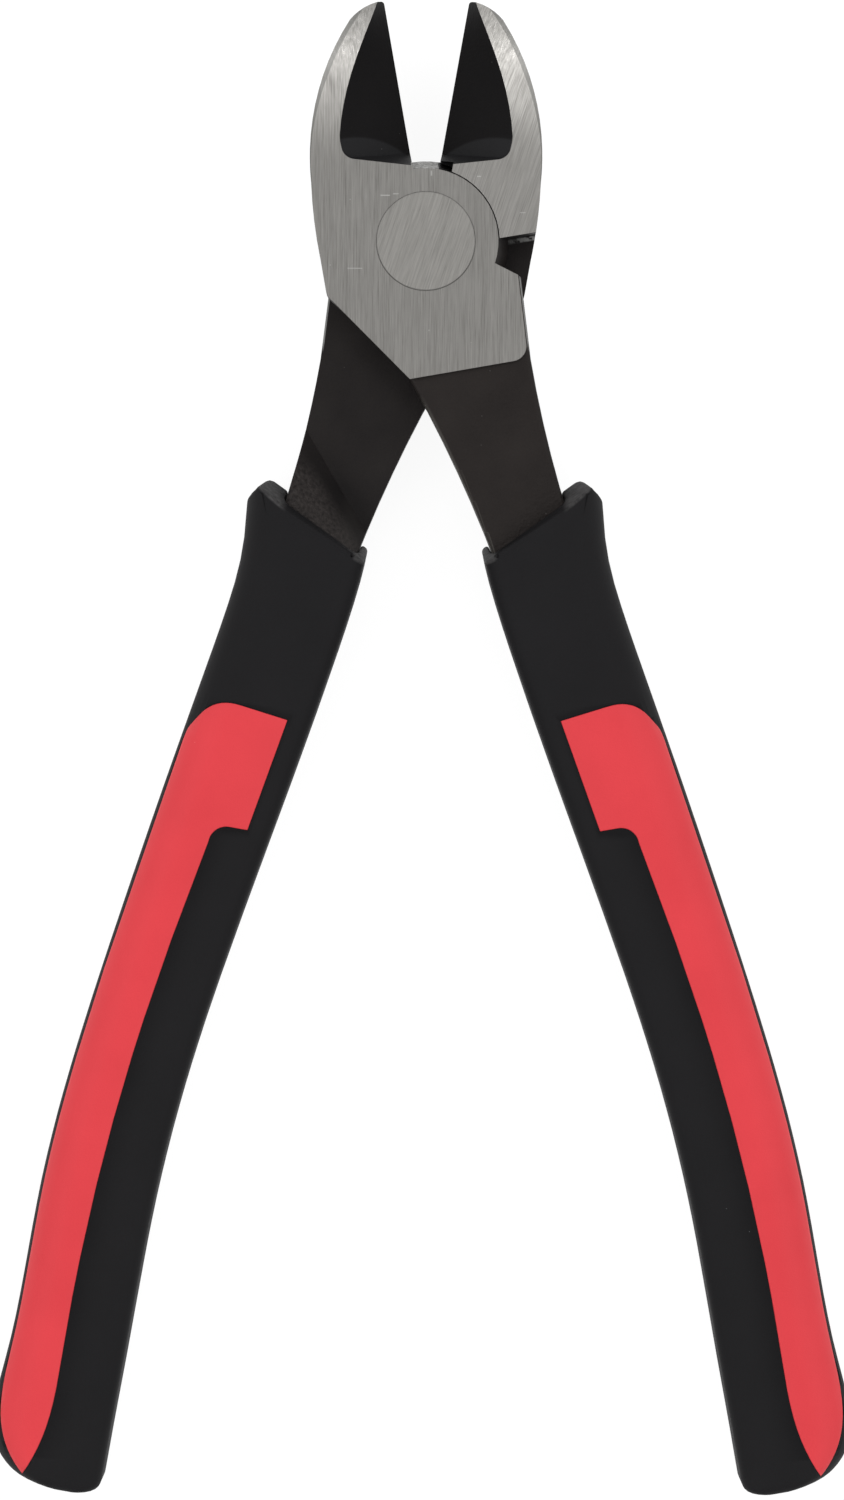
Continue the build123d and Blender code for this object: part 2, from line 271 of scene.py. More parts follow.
# %% [markdown]
# ## The collar's mouth
#
# The mouth slants down towards the inside of the hand, and falls away from the middle to the front and
# to the back, so it is three flat cuts: two for that roof shape and one across the outer corner. The leg
# stands in a pocket that is a little wider than the steel, which leaves the dark crevice round it.

# %% Cut the mouth and its pocket
mouth_slope = math.radians(25.6)
mouth_fall = math.radians(14)
mouth_corner = Vector((3.2, 2.3, 0)).normalized()  # out from the cut across the outer corner
crevice = 0.30 * MM  # over the leg's faces
side_crevice = 0.05 * MM
pocket_drops = [drop * MM for drop in (24, 30, 34, 38, 42, 46)]
leg_sections_end = 42 * MM  # below here the pocket runs on straight
pocket_corner = 1.1 * MM
lip_rounding = 0.42 * MM
mouth_up = Vector((-math.sin(mouth_slope), math.cos(mouth_slope), 0))
ridge = Vector((peak[0], peak[1], middle))
cuts = [
    mouth_up * math.cos(mouth_fall) + Vector((0, 0, side * math.sin(mouth_fall))) for side in (1, -1)
]
peak_round = ((mouth_up + mouth_corner).normalized(), 0.28 * MM)  # takes the sharpness off the peak
only(body)
bpy.ops.object.mode_set(mode="EDIT")
for normal, depth in (*((cut, 0) for cut in cuts), (mouth_corner, 0), peak_round):
    bpy.ops.mesh.select_all(action="SELECT")
    bpy.ops.mesh.bisect(plane_co=ridge - normal * depth, plane_no=normal, use_fill=True, clear_outer=True)
bpy.ops.object.mode_set(mode="OBJECT")

pocket_sections = []
for drop in pocket_drops:
    inner, outer, back, front = cut_across(leg_edges, min(drop, leg_sections_end))
    across = (inner - side_crevice, outer + side_crevice)
    pocket_sections.append((drop, *across, back - crevice, front + crevice))
pocket = bar("pocket", pocket_sections, pocket_corner, pocket_corner, 4)
apply_modifier(body, "BOOLEAN", operation="DIFFERENCE", object=pocket, solver="EXACT")
bpy.data.objects.remove(pocket)
apply_modifier(
    body, "BEVEL", width=lip_rounding, segments=4, limit_method="ANGLE", angle_limit=math.radians(32),
    use_clamp_overlap=False,
)
body.rotation_euler.z = half_opening
only(body)
bpy.ops.object.transform_apply(location=True, rotation=True, scale=True)
print("the collar is cut;", open_edges(body), "open edges")

# %% [markdown]
# ## The inlays
#
# A real inlay is a second shot of softer plastic in a recess of the first. So one prism cuts both: the
# body less the prism is the sleeve, and the body within the prism is the inlay. The prism's outline is
# the underside of the frame's own inlay, which keeps the seam where the design has it.


# %% Prisms from the frame's inlay
def inlay_prism(name, side):
    """A prism over the underside of the frame's front inlay, or the same turned to the back."""
    prism = copy_of(nodes["right_front_inlay"], name)
    only(prism)
    floor = min(v.co.z for v in prism.data.vertices)
    bpy.ops.object.mode_set(mode="EDIT")
    bpy.ops.mesh.select_all(action="SELECT")
    bpy.ops.mesh.remove_doubles(threshold=1e-6)
    near_floor = floor + 0.01 * MM
    pick(prism, "faces", lambda f: f.calc_center_median().z > near_floor or f.normal.z > -0.99)
    bpy.ops.mesh.delete(type="FACE")
    bpy.ops.mesh.select_all(action="SELECT")
    bpy.ops.mesh.dissolve_limited(angle_limit=math.radians(1))
    bpy.ops.mesh.select_all(action="SELECT")
    bpy.ops.mesh.extrude_region_move(TRANSFORM_OT_translate={"value": (0, 0, prism_height)})
    bpy.ops.mesh.select_all(action="SELECT")
    if side < 0:
        bpy.ops.transform.resize(value=(1, 1, -1), center_override=(0, 0, middle))
    bpy.ops.mesh.normals_make_consistent(inside=False)
    bpy.ops.object.mode_set(mode="OBJECT")
    return prism


prism_height = 8 * MM  # past the grip's face
seam_rounding = 0.12 * MM
prisms = {"front": inlay_prism("prism_front", 1), "rear": inlay_prism("prism_rear", -1)}
grips = {}
for face, prism in prisms.items():
    inlay = copy_of(body, "right_" + face + "_soft_inlay")
    apply_modifier(inlay, "BOOLEAN", operation="INTERSECT", object=prism, solver="EXACT")
    grips[face + "_inlay"] = inlay
    print(inlay.name, "has", len(inlay.data.polygons), "faces,", open_edges(inlay), "open edges")
sleeve = copy_of(body, "right_moulded_sleeve")
for prism in prisms.values():
    apply_modifier(sleeve, "BOOLEAN", operation="DIFFERENCE", object=prism, solver="EXACT")
grips["grip_sleeve"] = sleeve
print(sleeve.name, "has", len(sleeve.data.polygons), "faces,", open_edges(sleeve), "open edges")
for face in ("front", "rear"):
    apply_modifier(
        grips[face + "_inlay"], "BEVEL", width=seam_rounding, segments=2, limit_method="ANGLE",
        angle_limit=math.radians(60), use_clamp_overlap=False,
    )
for leftover in (body, *prisms.values()):
    bpy.data.objects.remove(leftover)

# %% [markdown]
# ## The other grip
#
# The pliers' two grips are mirror images of each other about the plane between them, so the second one
# is a mirrored copy. A negative scale turns a shape inside out, so its normals are made right again.

# %% Mirror the grip
for key, piece in list(grips.items()):
    twin = copy_of(piece, piece.name.replace("right_", "left_"))
    twin.scale.x = -1
    only(twin)
    bpy.ops.object.transform_apply(location=True, rotation=True, scale=True)
    for side in (piece, twin):
        only(side)
        bpy.ops.object.mode_set(mode="EDIT")
        bpy.ops.mesh.select_all(action="SELECT")
        bpy.ops.mesh.normals_make_consistent(inside=False)
        bpy.ops.object.mode_set(mode="OBJECT")
        bpy.ops.object.shade_smooth_by_angle(angle=math.radians(35))
    grips["left_" + key] = twin
    grips["right_" + key] = grips.pop(key)
print("grips:", sorted(grips))

# %% [markdown]
# ## Node helpers
#
# Every finish is a small network of nodes. `put` adds one node and sets or links its inputs by name, and
# `calc` is the same for arithmetic, so that a material reads like a recipe. Most of a recipe is masks:
# `ramp` and `band` make one from a place, `product` lays masks over each other, and `blend` and
# `between` use one to mix two colours or two numbers.


# %% Helpers for node networks
def feed(tree, socket, value):
    """Links an input to a socket, or sets it to a value."""
    if isinstance(value, bpy.types.NodeSocket):
        tree.links.new(value, socket)
    else:
        socket.default_value = value


def put(tree, kind, settings=None, **inputs):
    """Adds a shader node. An input is a value or a socket; an underscore stands for a space."""
    made = tree.nodes.new("ShaderNode" + kind)
    for name, value in (settings or {}).items():
        setattr(made, name, value)
    for name, value in inputs.items():
        feed(tree, made.inputs[name.replace("_", " ")], value)
    return made


def calc(tree, operation, *values):
    """The result of a Math node on values or sockets."""
    made = tree.nodes.new("ShaderNodeMath")
    made.operation = operation
    for socket, value in zip(made.inputs, values):
        feed(tree, socket, value)
    return made.outputs[0]


def product(tree, first, *others):
    """Values or sockets multiplied together."""
    for other in others:
        first = calc(tree, "MULTIPLY", first, other)
    return first


def ramp(tree, value, start, end):
    """0 at start and 1 at end, in a straight line."""
    made = put(tree, "MapRange", Value=value, From_Min=start, From_Max=end)
    return made.outputs["Result"]


def band(tree, value, low, high, soft):
    """1 where value lies between low and high, fading to 0 over soft."""
    return product(tree, ramp(tree, value, low - soft, low), ramp(tree, value, high + soft, high))


def between(tree, share, low, high):
    """A number that goes from low to high as share goes from 0 to 1."""
    made = put(tree, "MapRange", Value=share, To_Min=low, To_Max=high)
    return made.outputs["Result"]


def blend(tree, share, low, high):
    """A colour between two colours or sockets."""
    made = tree.nodes.new("ShaderNodeMix")
    made.data_type = "RGBA"
    sockets = (made.inputs["Factor"], made.inputs[6], made.inputs[7])
    for socket, value in zip(sockets, (share, low, high)):
        feed(tree, socket, (*value, 1) if isinstance(value, (tuple, list)) else value)
    return made.outputs[2]


def separate(tree, vector):
    """A vector's x, y and z."""
    return put(tree, "SeparateXYZ", Vector=vector).outputs[:3]


def turn_about_z(tree, vector, angle):
    """A vector turned about the pivot's direction."""
    return put(tree, "VectorRotate", {"rotation_type": "Z_AXIS"}, Vector=vector, Angle=angle).outputs[0]


def from_point(tree, x, y, centre_x=0.0, centre_y=0.0):
    """The distance from a point of the drawing."""
    off_x, off_y = calc(tree, "SUBTRACT", x, centre_x), calc(tree, "SUBTRACT", y, centre_y)
    off = put(tree, "CombineXYZ", X=off_x, Y=off_y).outputs[0]
    return put(tree, "VectorMath", {"operation": "LENGTH"}, Vector=off).outputs["Value"]


def new_group(name, inputs, outputs):
    """A node group with named float or vector sockets. Returns it, its inputs and its output node."""
    group = bpy.data.node_groups.new(name, "ShaderNodeTree")
    for socket, (kind, value) in inputs.items():
        made = group.interface.new_socket(socket, in_out="INPUT", socket_type="NodeSocket" + kind)
        if value is not None:
            made.default_value = value
    for socket in outputs:
        group.interface.new_socket(socket, in_out="OUTPUT", socket_type="NodeSocketFloat")
    return group, group.nodes.new("NodeGroupInput").outputs, group.nodes.new("NodeGroupOutput")


def use_group(tree, group, **inputs):
    """Places a group in a material and sets or links its inputs."""
    return put(tree, "Group", {"node_tree": group}, **inputs)


def new_material(name):
    """A material, its node tree and its one shader."""
    material = bpy.data.materials.new(name)
    material.use_nodes = True
    return material, material.node_tree, material.node_tree.nodes["Principled BSDF"]


def finish_with(tree, shader, colour, roughness, height):
    """Links a colour, a roughness and a height in mm to a shader."""
    bump = put(tree, "Bump", Height=height, Strength=1.0, Distance=MM)
    for name, socket in (("Base Color", colour), ("Roughness", roughness), ("Normal", bump.outputs[0])):
        tree.links.new(socket, shader.inputs[name])


def millimetres(tree):
    """Object coordinates in millimetres, which makes every size below easy to read."""
    place = put(tree, "TexCoord").outputs["Object"]
    made = put(tree, "VectorMath", {"operation": "SCALE"}, Vector=place, Scale=1 / MM)
    return made.outputs[0]


print("node helpers are ready")

# %% [markdown]
# ## Grinding lines
#
# The head is ground flat on a belt, which leaves fine parallel lines of uneven depth. An image could
# hold them, but a noise that is squeezed across the lines and stretched along them has no seams and
# turns with one angle. Three widths of line are mixed, since a worn belt cuts them all.

# %% The grinding group
grinding, source, result = new_group(
    "grinding_lines",
    {
        "Vector": ("Vector", None),
        "Angle": ("Float", 0.0),
        "Line Width": ("Float", 0.12),
        "Line Length": ("Float", 6.0),
    },
    ["Tone", "Height"],
)
across, up, through = separate(grinding, turn_about_z(grinding, source["Vector"], source["Angle"]))
layers = []
for wider, longer, detail in ((1.0, 1.0, 2.0), (2.6, 2.0, 3.0), (12.0, 5.0, 2.0)):
    squeezed = put(
        grinding,
        "CombineXYZ",
        X=calc(grinding, "DIVIDE", across, product(grinding, source["Line Width"], wider)),
        Y=calc(grinding, "DIVIDE", up, product(grinding, source["Line Length"], longer)),
        Z=through,
    ).outputs[0]
    noise = put(grinding, "TexNoise", Vector=squeezed, Scale=1.0, Detail=detail, Roughness=0.6)
    layers.append(noise.outputs[0])
fine, medium, broad = layers
mixed = calc(grinding, "MULTIPLY_ADD", medium, 0.24, product(grinding, fine, 0.66))
mixed = calc(grinding, "MULTIPLY_ADD", broad, 0.1, mixed)
grinding.links.new(ramp(grinding, mixed, 0.3, 0.7), result.inputs["Tone"])
grinding.links.new(calc(grinding, "MULTIPLY_ADD", medium, 0.6, fine), result.inputs["Height"])
print("group", grinding.name, "is built")

# %% [markdown]
# ## Specks
#
# Matt black plastic and blacked steel both show stray specks of dust and tiny bright chips. A Voronoi
# texture gives one cell for each possible speck, and only the cells with a low enough random value
# keep it.

# %% The specks group
specks, source, result = new_group(
    "stray_specks",
    {
        "Vector": ("Vector", None),
        "Spacing": ("Float", 2.5),
        "Size": ("Float", 0.05),
        "Share": ("Float", 0.3),
    },
    ["Mask"],
)
scale = calc(specks, "DIVIDE", 1.0, source["Spacing"])
cells = put(specks, "TexVoronoi", Vector=source["Vector"], Scale=scale)
near = calc(specks, "LESS_THAN", cells.outputs["Distance"], product(specks, source["Size"], scale))
chance = put(specks, "SeparateColor", Color=cells.outputs["Color"]).outputs[0]
kept = calc(specks, "LESS_THAN", chance, source["Share"])
specks.links.new(product(specks, near, kept), result.inputs["Mask"])
print("group", specks.name, "is built")

# %% [markdown]
# ## Skin
#
# Forged steel under its black oxide and moulded plastic share one thing: a skin that is never quite
# even. The same group serves both, with a coarse swell and a fine grain whose sizes the material sets.

# %% The skin group
skin, source, result = new_group(
    "uneven_skin",
    {"Vector": ("Vector", None), "Swell": ("Float", 3.0), "Grain": ("Float", 0.15)},
    ["Tone", "Height"],
)
swell, grain = (
    put(
        skin,
        "TexNoise",
        Vector=source["Vector"],
        Scale=calc(skin, "DIVIDE", 1.0, source[size]),
        Detail=detail,
    ).outputs[0]
    for size, detail in (("Swell", 3.0), ("Grain", 1.0))
)
tone = calc(skin, "MULTIPLY_ADD", grain, 0.3, product(skin, swell, 0.7))
skin.links.new(ramp(skin, tone, 0.3, 0.7), result.inputs["Tone"])
skin.links.new(calc(skin, "MULTIPLY_ADD", grain, 0.3, swell), result.inputs["Height"])
print("group", skin.name, "is built")

# %% [markdown]
# ## The steel halves
#
# Each half is one forging in two finishes. It is blacked all over and then ground bright on its two
# faces, so the finish follows the shape: where the surface faces front or back at full height, or curves
# in to the jaw's tip, it is ground. Everything else stays black. Both finishes live in one material,
# with a mask between them, because they meet in the middle of the same piece.
#
# Most wear, and the painted light and shade, is placed on a half's own drawing, which is the half turned
# back shut with its jaw on the left, so a mark that both halves have is described once. The scratches,
# the notch between the jaws and what depends only on the height above the pivot are placed on the pliers
# as they lie open.

# %% Colours and places of the steel
GROUND_DARK = (0.216, 0.209, 0.197)
GROUND_LIGHT = (0.487, 0.474, 0.452)
NICKED = (0.72, 0.71, 0.69)
SCRATCHED = (0.80, 0.80, 0.78)
SEAM_DARK = (0.05, 0.048, 0.045)
# painted shade standing for the unmodelled bevel
BEVEL_SHADE_GREY = (0.17, 0.168, 0.16)
# oxide black of the hollows, also used as painted shade along the rear half's crease
OXIDE_AND_SHADE_BLACK = (0.0032, 0.0027, 0.0029)
# painted reflection on the hollow's wheel-ground floor
HOLLOW_FLOOR_REFLECTION = (0.0140, 0.0140, 0.0150)
SCALE_GREY = (0.16, 0.155, 0.15)
# bare steel of chips, also the painted highlight beside the shoulder
CHIPPED_AND_LIT_GREY = (0.40, 0.40, 0.39)
# a rough patch, made lighter with painted light
ROUGH_AND_LIT_LEG = (0.046, 0.040, 0.038)
# lighter grey of the leg's inner edge
INNER_EDGE_GREY = (0.075, 0.070, 0.063)
RIVET_DARK = (0.252, 0.244, 0.230)
RIVET_LIGHT = (0.522, 0.509, 0.483)
RIM_DARK = (0.06, 0.058, 0.055)
half_head = (head_high.z - head_low.z) / 2 / MM
rivet_radius = head_high.x / MM
nose_start = 11.0  # mm above the pivot, from where the ground faces curve in to the tips
# in mm on a half's own drawing: centre and radius of two arcs, then points and slopes of three lines
jaw_arc = (20.51, 7.60, 33.99)  # the jaw's outer side
wheel_arc = (-7.7, 5.4, 9.65)  # how far the grinding wheel reached into the hollow's floor
heel = (-9.24, 2.0, 0.354)  # the jaw's lower edge
shoulder = (11.05, -6.65, 0.0514)  # the ground face's edge beside the shoulder
crease = (8.7, -29.5, math.radians(49.8))  # where the lap's floor turns up into the leg
print("in mm, the head's thickness is", round(2 * half_head, 2), "and the rivet's radius", rivet_radius)


# %% Where a point of a half lies
def half_places(tree, side):
    """Sockets for a point's place in mm, in the frame and on the half's own drawing."""
    place = millimetres(tree)
    x, y, z = separate(tree, place)
    own_x, own_y, _ = separate(tree, turn_about_z(tree, place, -side * half_opening))
    normal_z = separate(tree, put(tree, "NewGeometry").outputs["True Normal"])[2]
    return SimpleNamespace(
        place=place,
        x=x,
        y=y,
        own_x=product(tree, own_x, float(side)),
        own_y=own_y,
        off_middle=calc(tree, "ABSOLUTE", calc(tree, "SUBTRACT", z, middle / MM)),
        facing=calc(tree, "ABSOLUTE", normal_z),
    )


def past_line(tree, at, point_x, point_y, normal_x, normal_y):
    """How far a place on the half's own drawing lies beyond a line, along the line's normal."""
    past = calc(tree, "MULTIPLY_ADD", at.own_x, normal_x, -point_x * normal_x - point_y * normal_y)
    return calc(tree, "MULTIPLY_ADD", at.own_y, normal_y, past)


print("places on a half are ready")


# %% Blacked steel
def blacked(tree, at, side, leg_black, leg_worn):
    """The black oxide's colour, roughness and height in mm, with its wear and some painted shade and
    light.
    """
    forged = use_group(tree, skin, Vector=at.place, Swell=7.0, Grain=0.22).outputs
    patches = use_group(tree, skin, Vector=at.place, Swell=0.55, Grain=0.3).outputs
    dust = use_group(tree, specks, Vector=at.place, Spacing=1.2, Size=0.055, Share=0.2).outputs["Mask"]

    # rough bare metal in the notch between the jaws' roots
    root = product(tree, band(tree, at.y, 9.2, 10.9, 0.1), band(tree, at.x, -1.9, 1.6, 0.1))
    chips = product(tree, root, ramp(tree, patches["Tone"], 0.42, 0.6))
    # scale that cracked away below the jaw's heel
    under_heel = past_line(tree, at, *heel[:2], -heel[2], -1.0)
    cracked = product(
        tree,
        band(tree, under_heel, 0.2, 0.6, 0.2),
        ramp(tree, at.own_x, -9.8, -13.4),
        ramp(tree, patches["Tone"], 0.15, 0.55),
        ramp(tree, at.facing, 0.5, 0.8),
    )
    # painted highlight: a lighter strip beside the shoulder, past the ground face's edge, where the
    # drafted side wall catches light
    shoulder_highlight = product(
        tree,
        ramp(tree, past_line(tree, at, *shoulder[:2], 1.0, -shoulder[2]), 0.10, 0.16),
        band(tree, at.own_y, -15.0, -7.0, 1.5),
        ramp(tree, at.facing, 0.3, 0.6),
    )
    # the rear half was dressed above the collar: a painted shade along the crease, then a rough patch
    # made lighter with painted light where the surface turns to face the light
    low_leg = ramp(tree, at.own_y, -28.5, -33.0)
    past_crease = past_line(tree, at, *crease[:2], math.sin(crease[2]), -math.cos(crease[2]))
    shaded = product(tree, band(tree, past_crease, -0.9, 1.1, 1.9), low_leg)
    rough_patch = ramp(tree, patches["Tone"], 0.1, 0.9)
    rough_and_lit = product(tree, band(tree, past_crease, 3.2, 6.5, 2.0), low_leg, rough_patch)
    # the leg's inner edge is lighter where its surface turns away from the face, mostly on the front half
    lighter_inner_edge = product(
        tree,
        ramp(tree, at.facing, 0.97, 0.7),
        ramp(tree, at.y, -20.0, -23.0),
        ramp(tree, at.own_x, 5.0, 3.5),
    )
    # painted reflection: the hollow's floor, as far as the wheel reached, is made a little lighter, as
    # its different slope catches light
    wheel = from_point(tree, at.own_x, at.own_y, *wheel_arc[:2])
    wheel = ramp(tree, wheel, wheel_arc[2] + 0.05, wheel_arc[2] - 0.25)
    wheel = product(tree, wheel, ramp(tree, at.y, 4.0, 6.0))

    colour = blend(tree, forged["Tone"], leg_black, leg_worn)
    for share, strength, tone in (
        (patches["Tone"], 0.25, leg_worn),
        (ramp(tree, at.y, -2.0, 4.0), 1.0, OXIDE_AND_SHADE_BLACK),
        # painted reflection on the hollow's floor
        (wheel, 0.8, HOLLOW_FLOOR_REFLECTION),
        (lighter_inner_edge, 0.8 if side > 0 else 0.15, INNER_EDGE_GREY),
        # painted shade along the crease, and painted light on the rough patch beyond it
        (shaded, 0.5 if side < 0 else 0.0, OXIDE_AND_SHADE_BLACK),
        (rough_and_lit, 0.8 if side < 0 else 0.0, ROUGH_AND_LIT_LEG),
        (root, 1.0, SCALE_GREY),
        # real chipped scale below the heel, and the painted highlight beside the shoulder
        (calc(tree, "MAXIMUM", cracked, shoulder_highlight), 0.5, CHIPPED_AND_LIT_GREY),
        (chips, 1.0, CHIPPED_AND_LIT_GREY),
        (dust, 0.45, SCALE_GREY),
    ):
        colour = blend(tree, product(tree, share, strength), colour, tone)
    rough_height = product(tree, calc(tree, "MAXIMUM", root, rough_and_lit), patches["Height"], 0.08)
    height = calc(tree, "MULTIPLY_ADD", forged["Height"], 0.10, rough_height)
    return colour, between(tree, forged["Tone"], 0.48, 0.60), height


print("the blacked finish is ready")


# %% Ground steel
def belt_ground(tree, at, line_angle, level, scratches):
    """The ground steel's colour, roughness and height in mm, with its nicks and scratches and a painted
    shade for the bevel.
    """
    lines, strokes = (
        use_group(
            tree, grinding, Vector=at.place, Angle=line_angle, Line_Width=width, Line_Length=length
        ).outputs
        for width, length in ((0.13, 4.5), (0.19, 0.9))
    )
    nicks = use_group(tree, specks, Vector=at.place, Spacing=2.6, Size=0.10, Share=0.3).outputs["Mask"]

    # long lines, which turn into short strokes where the faces curve in to the tips
    curved = ramp(tree, at.y, 21.0, 24.5)
    tone, height = (between(tree, curved, lines[name], strokes[name]) for name in ("Tone", "Height"))
    dark, light = ([level * part for part in colour] for colour in (GROUND_DARK, GROUND_LIGHT))
    colour = blend(tree, tone, dark, light)
    colour = blend(tree, product(tree, nicks, 0.35), colour, NICKED)
    for across, up, half_width, half_height in scratches:
        scratch = band(tree, at.x, across - half_width, across + half_width, 0.12)
        scratch = product(tree, scratch, band(tree, at.y, up - half_height, up + half_height, 0.06), 0.45)
        colour = blend(tree, scratch, colour, SCRATCHED)
    # a seam round the rivet, deeper on its lower side
    seam = band(tree, from_point(tree, at.x, at.y), rivet_radius + 0.03, rivet_radius + 0.10, 0.05)
    seam = product(tree, seam, between(tree, ramp(tree, at.y, 4.0, -4.0), 0.15, 0.6))
    colour = blend(tree, seam, colour, SEAM_DARK)
    # painted shade: a duller, darker strip along the jaw's outer side stands for its bevel, which isn't
    # modelled, wider towards the tip
    from_side = calc(tree, "SUBTRACT", jaw_arc[2], from_point(tree, at.own_x, at.own_y, *jaw_arc[:2]))
    bevel_width = between(tree, ramp(tree, at.own_y, 14.0, 24.0), 0.12, 0.62)
    bevel = calc(tree, "LESS_THAN", from_side, bevel_width)
    bevel = product(tree, bevel, ramp(tree, at.own_y, 9.0, 11.0), 0.8)
    colour = blend(tree, bevel, colour, BEVEL_SHADE_GREY)

    roughness = calc(tree, "SUBTRACT", between(tree, tone, 0.42, 0.32), product(tree, curved, 0.08))
    return colour, roughness, product(tree, height, 0.006)


print("the ground finish is ready")


# %% The steel of the halves
def half_steel(name, side, line_angle, ground_level, leg_black, leg_worn, scratches):
    """Blacked forged steel, ground on the head. side is 1 on the front half and -1 on the rear half."""
    material, tree, shader = new_material(name)
    at = half_places(tree, side)
    flat = ramp(tree, at.facing, 0.885, 0.895)
    full_height = ramp(tree, at.off_middle, half_head - 0.2, half_head - 0.1)
    nose = ramp(tree, at.y, nose_start, nose_start + 0.1)
    ground = product(tree, flat, calc(tree, "MAXIMUM", full_height, nose))
    black_colour, black_roughness, black_height = blacked(tree, at, side, leg_black, leg_worn)
    bright_colour, bright_roughness, bright_height = belt_ground(
        tree, at, line_angle, ground_level, scratches
    )
    colour = blend(tree, ground, black_colour, bright_colour)
    roughness = between(tree, ground, black_roughness, bright_roughness)
    height = between(tree, ground, black_height, bright_height)
    finish_with(tree, shader, colour, roughness, height)
    tree.links.new(between(tree, ground, 0.2, 0.98), shader.inputs["Metallic"])
    shader.inputs["Specular IOR Level"].default_value = 0.12
    return material


rear_line_angle = math.radians(18)
steels = {
    "front_half": half_steel(
        "front_half_steel",
        side=1,
        line_angle=0.0,
        ground_level=0.88,
        leg_black=(0.0118, 0.0096, 0.0090),
        leg_worn=(0.0190, 0.0158, 0.0146),
        scratches=(
            (-5.3, 5.9, 0.55, 0.04),
            (-3.9, 6.1, 0.3, 0.03),
            (0.7, 8.8, 0.02, 0.3),
            (-9.2, -3.6, 0.9, 0.02),
        ),  # mm: across and up from the pivot, half width and half height
    ),
    "rear_half": half_steel(
        "rear_half_steel",
        side=-1,
        line_angle=rear_line_angle,
        ground_level=1.0,
        leg_black=(0.0092, 0.0078, 0.0078),
        leg_worn=(0.0158, 0.0136, 0.0130),
        scratches=((6.9, 8.4, 0.2, 0.04), (12.6, 3.7, 0.3, 0.02)),
    ),
}
print("steel for", sorted(steels))

# %% [markdown]
# ## The rivet
#
# The rivet's two ends were ground together with the rear half, so its lines run the same way as that
# half's. Its edge is a fine dark ring, where the grinding dust sits in the seam.

# %% The rivet's steel
rivet_steel, tree, shader = new_material("rivet_steel")
place = millimetres(tree)
lines = use_group(
    tree, grinding, Vector=place, Angle=rear_line_angle, Line_Width=0.15, Line_Length=4.0
).outputs
x, y, _ = separate(tree, place)
rim = ramp(tree, from_point(tree, x, y), rivet_radius - 0.13, rivet_radius - 0.03)
colour = blend(tree, lines["Tone"], RIVET_DARK, RIVET_LIGHT)
colour = blend(tree, product(tree, rim, 0.25), colour, RIM_DARK)
roughness = between(tree, lines["Tone"], 0.40, 0.30)
finish_with(tree, shader, colour, roughness, product(tree, lines["Height"], 0.004))
shader.inputs["Metallic"].default_value = 0.98
print("material", rivet_steel.name, "is built")

# %% [markdown]
# ## The grips' plastics
#
# The black sleeve is a matt moulding: almost no gloss, a fine grain, a few specks of dust, a parting
# line round its edge and a rougher face at the mouth, made greyer with painted light where it faces the
# lamps. The red inlay is a softer plastic with a faint satin sheen.


# %% A moulded plastic
def plastic(tree, place, dark, light, dust_colour, dust_share, roughness):
    """The colour, roughness and height in mm of a moulded skin with a few specks of dust."""
    surface = use_group(tree, skin, Vector=place, Swell=9.0, Grain=0.16).outputs
    dust = use_group(tree, specks, Vector=place, Spacing=3.0, Size=0.06, Share=dust_share).outputs["Mask"]
    colour = blend(tree, surface["Tone"], dark, light)
    colour = blend(tree, product(tree, dust, 0.5), colour, dust_colour)
    return colour, between(tree, surface["Tone"], *roughness), product(tree, surface["Height"], 0.04)


print("the moulded finish is ready")

# %% Black plastic
# painted light on the mouth's face
MOUTH_LIT_GREY = (0.062, 0.060, 0.060)
grip_black, tree, shader = new_material("grip_black")
place = millimetres(tree)
colour, roughness, height = plastic(
    tree,
    place,
    dark=(0.0080, 0.0077, 0.0084),
    light=(0.0104, 0.0100, 0.0109),
    dust_colour=(0.14, 0.14, 0.15),
    dust_share=0.16,
    roughness=(0.62, 0.72),
)
x, y, z = separate(tree, place)
mirrored = put(tree, "CombineXYZ", X=calc(tree, "ABSOLUTE", x), Y=y, Z=z).outputs[0]
shut = turn_about_z(tree, mirrored, -half_opening)
off_middle = calc(tree, "ABSOLUTE", calc(tree, "SUBTRACT", z, middle / MM))

# how far below the mouth's slanting face a point lies; the painted light on the mouth's face is beside
# the leg, not over it
peak_level = (peak[0] * mouth_up.x + peak[1] * mouth_up.y) / MM
level = put(tree, "VectorMath", {"operation": "DOT_PRODUCT"}, Vector=shut)
level.inputs[1].default_value = mouth_up
fallen = product(tree, off_middle, math.tan(mouth_fall))
below = calc(tree, "SUBTRACT", calc(tree, "SUBTRACT", peak_level, fallen), level.outputs["Value"])
mouth_face = ramp(tree, below, 0.45, 0.15)
shut_x = separate(tree, shut)[0]
beside_leg = calc(tree, "MAXIMUM", ramp(tree, shut_x, 11.6, 12.6), ramp(tree, shut_x, 2.2, 1.6))
mouth_skin = use_group(tree, skin, Vector=place, Swell=0.9, Grain=0.2).outputs
# painted light: the mouth's face beside the leg is lighter grey, over a rough skin
mouth_light_share = product(tree, mouth_face, between(tree, mouth_skin["Tone"], 0.25, 1.0), beside_leg)
colour = blend(tree, mouth_light_share, colour, MOUTH_LIT_GREY)

# the parting line, round the grip's sides
normal_z = separate(tree, put(tree, "NewGeometry").outputs["Normal"])[2]
sideways = ramp(tree, calc(tree, "ABSOLUTE", normal_z), 0.6, 0.2)
parting = product(tree, ramp(tree, off_middle, 0.16, 0.04), sideways, 0.06)
height = calc(tree, "ADD", height, parting)
height = calc(tree, "ADD", height, product(tree, mouth_face, mouth_skin["Height"], 0.12))
finish_with(tree, shader, colour, roughness, height)
shader.inputs["Specular IOR Level"].default_value = 0.09
print("material", grip_black.name, "is built")

